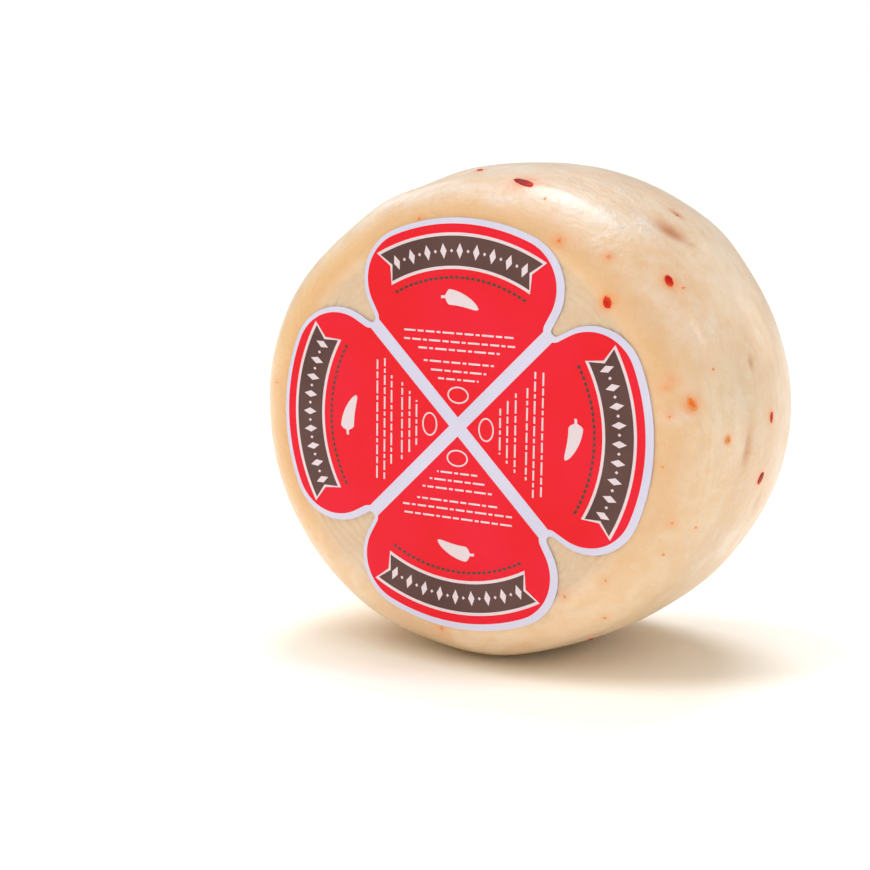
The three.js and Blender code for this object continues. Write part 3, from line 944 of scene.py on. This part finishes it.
def mark_rind(wheel, flakes, crumbs):
    """Stores where the rind is stained by chilli, browned, hazed over with some painted
    highlights, darkened by painted shade, or amber with a painted warm glow at its edges.
    """
    count = len(wheel.data.vertices)
    places = np.empty(count * 3, np.float32)
    wheel.data.vertices.foreach_get("co", places)
    places = places.reshape(-1, 3)

    def nearness(centre, reach):
        away = np.linalg.norm(places - np.array(centre, np.float32), axis=1) / reach
        return np.exp(-away ** 2)

    def patch(degrees, depth, long, wide, lean):
        angle = math.radians(degrees)
        centre = np.array(on_smooth_heel(angle, depth * MM), np.float32)
        run = (places - centre) @ np.array(lean_direction(angle, lean)) / (long * MM)
        cross = (places - centre) @ np.array(lean_direction(angle, lean + 90)) / (wide * MM)
        return np.exp(-run ** 2 - cross ** 2) * nearness(centre, DENT_REACH * long * MM)

    stain = np.zeros(count, np.float32)
    for (place, _, _), _, long, wide, _ in flakes:
        stain = np.maximum(stain, STAIN * nearness(place, long / 2 + FLAKE_STAIN_REACH))
    for degrees, depth, reach, strength in BLOTS:
        spot = patch(degrees, depth, reach, reach, 0)
        stain = np.maximum(stain, strength * spot)
    for (place, _, _), size, _, halo in crumbs:
        around = nearness(place, 0.9 * size + CRUMB_STAIN_REACH)
        stain = np.maximum(stain, STAIN * halo * around)
    bruise = np.zeros(count, np.float32)
    for degrees, depth, long, wide, lean, _, brown in DENTS:
        bruise = np.maximum(bruise, brown * patch(degrees, depth, long, wide, lean))
    # Hazed patches of the coating, some of them painted highlight streaks and glints.
    haze_and_sheen = np.zeros(count, np.float32)
    for degrees, depth, reach_round, reach_along, strength in HAZE_AND_SHEEN_PATCHES:
        haze_and_sheen = np.maximum(haze_and_sheen, strength * patch(degrees, depth, reach_round, reach_along, 90))

    from_middle = places - np.array(MIDDLE, np.float32)
    from_axis = np.hypot(from_middle[:, 0], from_middle[:, 2])
    depth = np.abs(from_middle[:, 1])
    # Amber band at the edges, with a painted warm glow of light: it fades towards the foot and is
    # weaker towards the right.
    amber_and_rim_light = np.clip((depth - AMBER_AND_RIM_LIGHT_DEPTH) / AMBER_AND_RIM_LIGHT_DEPTH_SOFTNESS, 0, 1)
    amber_and_rim_light *= np.clip((from_axis - AMBER_AND_RIM_LIGHT_RADIUS) / AMBER_AND_RIM_LIGHT_RADIUS_SOFTNESS, 0, 1)
    above_foot = RIM_LIGHT_AT_AXIS_HEIGHT + from_middle[:, 2] / RIM_LIGHT_FADE_HEIGHT
    amber_and_rim_light *= np.clip(above_foot, RIM_LIGHT_AT_FOOT, 1)
    amber_and_rim_light *= 1 - RIM_LIGHT_RIGHT_LOSS * np.clip(from_middle[:, 0] / RIM_LIGHT_RIGHT_REACH, 0, 1)
    # Broad spots of painted shade on the right of the heel.
    painted_shade = np.zeros(count, np.float32)
    for degrees, depth, reach, strength in PAINTED_SHADE_SPOTS:
        painted_shade = np.maximum(painted_shade, strength * patch(degrees, depth, reach, reach, 0))
    for name, values in (("stain", stain), ("bruise", bruise), ("haze_and_sheen", haze_and_sheen), ("painted_shade", painted_shade),
                         ("amber_and_rim_light", amber_and_rim_light * amber_and_rim_light * (3 - 2 * amber_and_rim_light))):
        attribute = wheel.data.attributes.new(name, "FLOAT", "POINT")
        attribute.data.foreach_set("value", values.astype(np.float32))


# ---- The label --------------------------------------------------------------------------------
def arc(centre, radius, start, end, steps):
    """Points of an arc about a centre; end below start runs clockwise."""
    return [(centre[0] + radius * math.cos(start + (end - start) * i / steps),
             centre[1] + radius * math.sin(start + (end - start) * i / steps))
            for i in range(steps + 1)]


def polar(radius, turn):
    """A point from its distance and its clockwise turn from a petal's middle line."""
    return (radius * math.sin(turn), radius * math.cos(turn))


def half_petal(border, strip):
    """Right half of a petal that points up, from its inner end to its top."""
    corner = polar(LABEL_RADIUS - CORNER_RADIUS, CORNER_TURN)
    notch = polar(NOTCH_CENTRE, TURN / 8)
    between = (corner[0] - notch[0], corner[1] - notch[1])
    towards_corner = math.atan2(between[1], between[0])
    notch_radius = NOTCH_RADIUS + border
    corner_radius = CORNER_RADIUS - border
    swing = math.acos((CORNER_RADIUS + NOTCH_RADIUS) / math.hypot(*between))
    touch = towards_corner + swing
    points = []
    if strip:
        run = math.sqrt(notch_radius ** 2 - strip ** 2)
        points.append((0.0, strip * math.sqrt(2)))
        enter = math.atan2(strip - run, -strip - run)
    else:
        enter = math.radians(-135)
    # Round the notch the outline runs clockwise, on to where the corner's arc touches it.
    leave = touch
    while leave > enter:
        leave -= TURN
    if enter - leave > TURN / 2:
        leave += TURN
    points += arc(notch, notch_radius, enter, leave, 10)
    points += arc(corner, corner_radius, touch - TURN / 2, TURN / 4 - CORNER_TURN, 22)
    points += arc((0, 0), LABEL_RADIUS - border, TURN / 4 - CORNER_TURN, TURN / 4, 16)[1:]
    return points


def whole_petal(border, strip):
    """The petal's outline, anticlockwise from its inner end."""
    right = half_petal(border, strip)
    left = [(-x, y) for x, y in reversed(right[:-1])]
    return right + (left[:-1] if strip else left)


def add_plate(bm, outline, back, front):
    """A flat plate in the label's plane; the outline is (right, up) in millimetres."""
    rims = []
    for depth in (back, front):
        rims.append([bm.verts.new((x * MM, depth, y * MM)) for x, y in outline])
    count = len(outline)
    bm.faces.new(rims[1])
    bm.faces.new(list(reversed(rims[0])))
    for i in range(count):
        j = (i + 1) % count
        bm.faces.new((rims[0][i], rims[0][j], rims[1][j], rims[1][i]))


def keep_plates(bm, name):
    bmesh.ops.recalc_face_normals(bm, faces=bm.faces)
    bmesh.ops.triangulate(bm, faces=[f for f in bm.faces if len(f.verts) > 4])
    mesh = bpy.data.meshes.new(name)
    bm.to_mesh(mesh)
    bm.free()
    return mesh


def make_petal_tree():
    """Repeats one petal's print round the middle of the label."""
    pen, given, end = new_shape_tree("petals", {
        "Petals": "Int", "Middle": "Vector", "Material": "Material"})
    spots = pen.add("GeometryNodeMeshLine", {
        "Count": given["Petals"], "Start Location": given["Middle"], "Offset": (0, 0, 0)})
    index = pen.add("GeometryNodeInputIndex")
    angle = index * TURN / given["Petals"]
    turned = pen.add("FunctionNodeEulerToRotation", {"Euler": pen.join(0.0, angle, 0.0)})
    petals = pen.add("GeometryNodeInstanceOnPoints", {
        "Points": spots, "Instance": given["Geometry"], "Rotation": turned})
    finish_tree(pen, petals, given["Material"], end)
    return pen.tree


def sheet_outline():
    """The whole die-cut outline, petal after petal, anticlockwise."""
    outline = []
    for quarter in range(PETALS):
        angle = quarter * TURN / PETALS
        for x, y in whole_petal(0, 0)[:-1]:
            outline.append((x * math.cos(angle) - y * math.sin(angle),
                            x * math.sin(angle) + y * math.cos(angle)))
    return outline


def ribbon_outline(edge):
    """An arched ribbon with swallow-tail ends, grown by edge all round."""
    inner = RIBBON[0] - edge
    outer = RIBBON[1] + edge
    turn = RIBBON_TURN + edge / outer
    middle = (inner + outer) / 2
    steps = 28
    top = [polar(outer, turn - 2 * turn * i / steps) for i in range(steps + 1)]
    low = [polar(inner, -turn + 2 * turn * i / steps) for i in range(steps + 1)]
    return top + [polar(middle, -turn + TAIL_NOTCH)] + low + [polar(middle, turn - TAIL_NOTCH)]


def lozenge_outline(radius, turn, half_high, half_wide):
    return [polar(radius, turn + half_wide / radius), polar(radius + half_high, turn),
            polar(radius, turn - half_wide / radius), polar(radius - half_high, turn)]


def add_dashes(bm, back, front):
    """A dashed arch under the ribbon."""
    low, high = DASH_RADIUS - DASH_HALF, DASH_RADIUS + DASH_HALF
    half = DASH_SHARE * 2 * RIBBON_TURN / (DASHES - 1)
    for i in range(DASHES):
        turn = (i / (DASHES - 1) - 0.5) * 2 * RIBBON_TURN
        add_plate(bm, [polar(low, turn + half), polar(high, turn + half),
                       polar(high, turn - half), polar(low, turn - half)], back, front)


def add_lozenges(bm, back, front):
    """A row of lozenges along the ribbon, with a small one between each two."""
    middle = sum(RIBBON) / 2
    reach = RIBBON_TURN - LOZENGE_MARGIN
    for i in range(LOZENGES):
        turn = (i / (LOZENGES - 1) - 0.5) * 2 * reach
        add_plate(bm, lozenge_outline(middle, turn, *LOZENGE_HALVES), back, front)
        if i < LOZENGES - 1:
            between = turn + reach / (LOZENGES - 1)
            add_plate(bm, lozenge_outline(middle, between, *SMALL_LOZENGE_HALVES), back, front)


def pod_outline():
    """A curved chilli pod with its stalk, lying across the petal."""
    upper, lower = [], []
    for i in range(POD_STEPS + 1):
        t = i / POD_STEPS
        x = POD_START[0] + POD_RUN[0] * t
        y = POD_START[1] + POD_RUN[1] * t + POD_ARCH * t * (1 - t)
        if t < STALK_SHARE:
            half = STALK_HALF
        elif i == POD_NECK[0]:
            half = POD_NECK[1]
        else:
            along = (t - STALK_SHARE) / (1 - STALK_SHARE)
            half = POD_HALF * math.sqrt(max(0.0, 1 - along ** 1.7)) + 0.02
        upper.append((x, y + half))
        lower.append((x, y - half))
    return lower + upper[::-1]


def add_ring(bm, centre, half_axes, width, back, front):
    steps = 24
    for i in range(steps):
        spots = []
        for angle, grown in ((i, 0), (i + 1, 0), (i + 1, width), (i, width)):
            turn = -angle / steps * TURN
            spots.append(((half_axes[0] - width + grown) * math.sin(turn),
                          centre + (half_axes[1] - width + grown) * math.cos(turn)))
        add_plate(bm, spots, back, front)


def add_rules(bm, back, front):
    """Thin rules of long and short dashes across the narrow end of the petal."""
    for number, (share, width) in enumerate(RULES):
        height = share * LABEL_RADIUS
        x = -width * LABEL_RADIUS / 2
        end = -x
        index = number
        while x < end:
            stop = min(x + RULE_DASHES[index % len(RULE_DASHES)], end)
            add_plate(bm, [(x, height - RULE_HALF), (stop, height - RULE_HALF),
                           (stop, height + RULE_HALF), (x, height + RULE_HALF)], back, front)
            x = stop + RULE_GAP
            index += 1


def make_label(papers):
    """The sheet and, over it, each print as its own thin piece."""
    sheet = bmesh.new()
    add_plate(sheet, sheet_outline(), 0.0, SHEET_FRONT - SHEET_BACK)
    mesh = keep_plates(sheet, "label_sheet")
    mesh.transform(Matrix.Translation((AXIS_X, SHEET_BACK, AXIS_Z)))
    mesh.materials.append(papers["label paper"])
    pieces = {"label_sheet": add_piece("label_sheet", mesh)}

    # Each print lies one layer of ink over the one before: its back and front, along Y.
    layers = {}
    level = SHEET_FRONT
    for name in ("label_fields", "ribbon_edges", "ribbons", "pale_marks"):
        layers[name] = (level + INK, level - INK)
        level -= INK
    fields, edges, ribbons, pale = (bmesh.new() for _ in range(4))
    add_plate(fields, whole_petal(BORDER, STRIP), *layers["label_fields"])
    add_plate(edges, ribbon_outline(RIBBON_EDGE), *layers["ribbon_edges"])
    add_plate(ribbons, ribbon_outline(0), *layers["ribbons"])
    add_dashes(ribbons, *layers["ribbon_edges"])
    add_lozenges(pale, *layers["pale_marks"])
    add_plate(pale, pod_outline(), *layers["ribbon_edges"])
    add_rules(pale, *layers["ribbon_edges"])
    add_ring(pale, RING_CENTRE, RING_HALF_AXES, RING_WIDTH, *layers["ribbon_edges"])
    tree = make_petal_tree()
    middle_of_print = (AXIS_X + PRINT_SHIFT[0] * MM, 0.0, AXIS_Z + PRINT_SHIFT[1] * MM)
    prints = {"label_fields": (fields, "red print"), "ribbon_edges": (edges, "pale print"),
              "ribbons": (ribbons, "brown print"), "pale_marks": (pale, "pale print")}
    for name, (bm, ink) in prints.items():
        pieces[name] = grow(name, tree, {
            "Petals": PETALS, "Middle": middle_of_print, "Material": papers[ink]},
            start=keep_plates(bm, name))
    return pieces


# ---- Light and view ---------------------------------------------------------------------------
def make_stage():
    """A pale floor under a white surround. Outside a long oval round the wheel the floor glows
    white, painted light that keeps the wheel's shadow only inside the oval.
    """
    bm = bmesh.new()
    bmesh.ops.create_grid(bm, x_segments=1, y_segments=1, size=30)
    mesh = bpy.data.meshes.new("floor")
    bm.to_mesh(mesh)
    bm.free()
    floor = add_piece("floor", mesh)
    material, pen, shader = new_material("glowing floor")
    place = pen.add("ShaderNodeTexCoord", out="Object")
    along = (math.cos(SHADOW_TURN), math.sin(SHADOW_TURN), 0.0)
    across = (-math.sin(SHADOW_TURN), math.cos(SHADOW_TURN), 0.0)
    far_along = (pen.dot(place, along) - SHADOW_MIDDLE[0]) / SHADOW_REACH[0]
    far_across = (pen.dot(place, across) - SHADOW_MIDDLE[1]) / SHADOW_REACH[1]
    far = (far_along * far_along + far_across * far_across).math("SQRT")
    # Outside the oval the floor glows white: painted light, so that the wheel's shadow is kept
    # only inside the oval.
    shade(pen, shader, Base_Color=srgb(*FLOOR_COLOUR), Roughness=0.9, Specular_IOR_Level=0.1,
          Emission_Color=(1.0, 1.0, 1.0, 1.0),
          Emission_Strength=pen.ramp(far, *GLOW_RISE, 0.0, GLOW)
          - pen.ramp(far, *GLOW_FADE, 0.0, GLOW_LOSS))
    mesh.materials.append(material)

    world = bpy.data.worlds.new("white surround")
    bpy.context.scene.world = world
    world.use_nodes = True
    pen = Pen(world.node_tree)
    seen = pen.add("ShaderNodeLightPath", out="Is Camera Ray")
    surround = world.node_tree.nodes["Background"]
    surround.inputs["Color"].default_value = (1, 1, 1, 1)
    feed(pen.tree, surround.inputs["Strength"], seen * (1.0 - SURROUND) + SURROUND)


def towards(azimuth, elevation):
    """Direction to a light: azimuth 0 is in front of the label, 90 is to its right."""
    turn, rise = math.radians(azimuth), math.radians(elevation)
    return Vector((math.sin(turn) * math.cos(rise), -math.cos(turn) * math.cos(rise),
                   math.sin(rise)))


def add_sun(name, azimuth, elevation, strength, spread, colour=(1, 1, 1)):
    light = bpy.data.lights.new(name, "SUN")
    light.energy = strength
    light.angle = math.radians(spread)
    light.color = colour
    lamp = bpy.data.objects.new(name, light)
    lamp.rotation_mode = "QUATERNION"
    lamp.rotation_quaternion = (-towards(azimuth, elevation)).to_track_quat("-Z", "Y")
    bpy.context.scene.collection.objects.link(lamp)


def add_softbox(name, azimuth, elevation, power, size, colour=(1, 1, 1)):
    light = bpy.data.lights.new(name, "AREA")
    light.shape = "RECTANGLE"
    light.size, light.size_y = size
    light.energy = power
    light.color = colour
    lamp = bpy.data.objects.new(name, light)
    direction = towards(azimuth, elevation)
    lamp.location = MIDDLE + direction * SOFTBOX_DISTANCE
    lamp.rotation_mode = "QUATERNION"
    lamp.rotation_quaternion = (-direction).to_track_quat("-Z", "Y")
    bpy.context.scene.collection.objects.link(lamp)


def make_lights():
    add_sun("overhead_left", -62, 72, 0.57, 60, (0.82, 0.85, 1.0))
    add_sun("overhead_front", 0, 60, 0.79, 60, (0.9, 0.93, 1.0))
    add_sun("overhead_behind", -165, 67, 1.75, 28, (0.71, 0.79, 0.94))
    add_softbox("right_fill", 80, 30, 1.1, (1.0, 0.8))
    add_softbox("right_glint", 115, 27, 0.7, (0.16, 0.16))
    add_softbox("left_fill", -80, 12, 2.36, (1.0, 0.8), (1.0, 0.98, 0.66))
    add_softbox("front_low", 10, 5, 2.4, (1.2, 0.7), (1.0, 0.81, 0.55))
    add_softbox("rim_left", -130, 27, 0.7, (0.4, 0.3), (0.85, 0.88, 1.0))
    add_softbox("far_right", 160, 10, 0.45, (0.3, 0.3), (1.0, 0.8, 0.65))


def make_camera():
    """The photograph's view of the label, with the label's middle at its place in the frame."""
    sin_turn, cos_turn = math.sin(CAMERA_TURN), math.cos(CAMERA_TURN)
    sin_rise, cos_rise = math.sin(CAMERA_RISE), math.cos(CAMERA_RISE)
    back = Vector((sin_turn * cos_rise, -cos_turn * cos_rise, sin_rise))
    level = Vector((cos_turn, sin_turn, 0))
    upright = back.cross(level)
    sin_roll, cos_roll = math.sin(CAMERA_ROLL), math.cos(CAMERA_ROLL)
    right = level * cos_roll + upright * sin_roll
    up = upright * cos_roll - level * sin_roll
    aimed = Matrix((right, up, back)).transposed()
    half_frame = FRAME_PIXELS / 2
    ray = Vector(((LABEL_PIXEL[0] - half_frame) / FOCAL_PIXELS,
                  (half_frame - LABEL_PIXEL[1]) / FOCAL_PIXELS, -1)).normalized()
    off_centre = Vector((0, 0, -1)).rotation_difference(ray).to_matrix()
    camera = bpy.data.objects.new("camera", bpy.data.cameras.new("camera"))
    camera.data.sensor_width = SENSOR_MM
    camera.data.lens = FOCAL_PIXELS * SENSOR_MM / FRAME_PIXELS
    camera.data.clip_start = 0.01
    camera.data.clip_end = 100
    target = Vector((AXIS_X, FACE_Y, AXIS_Z))
    camera.matrix_world = Matrix.LocRotScale(
        target + back * CAMERA_DISTANCE, (aimed @ off_centre.transposed()).to_quaternion(), None)
    bpy.context.scene.collection.objects.link(camera)
    bpy.context.scene.camera = camera


def main():
    grain_group = new_grain_group()
    rind_finish = make_rind_material(grain_group)
    chilli_finish = make_chilli_material(grain_group)
    papers = {name: make_paper_material(name, grain_group) for name in LABEL_COLOURS}
    make_camera()
    make_stage()
    make_lights()

    wheel = make_wheel(rind_finish)
    rind = Rind(wheel)
    flakes = plan_flakes(rind)
    crumbs = plan_crumbs(rind)
    mark_rind(wheel, flakes, crumbs)
    chilli = [make_flakes(flakes, chilli_finish), make_crumbs(crumbs, chilli_finish),
              make_specks(wheel, chilli_finish)]
    label = make_label(papers)

    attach(wheel, "root")
    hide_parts("cheese_wheel")
    for piece in chilli:
        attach(piece, "root")
    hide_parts("label")
    for name, piece in label.items():
        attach(piece, "root")
    bpy.context.scene.view_settings.view_transform = "Standard"


main()
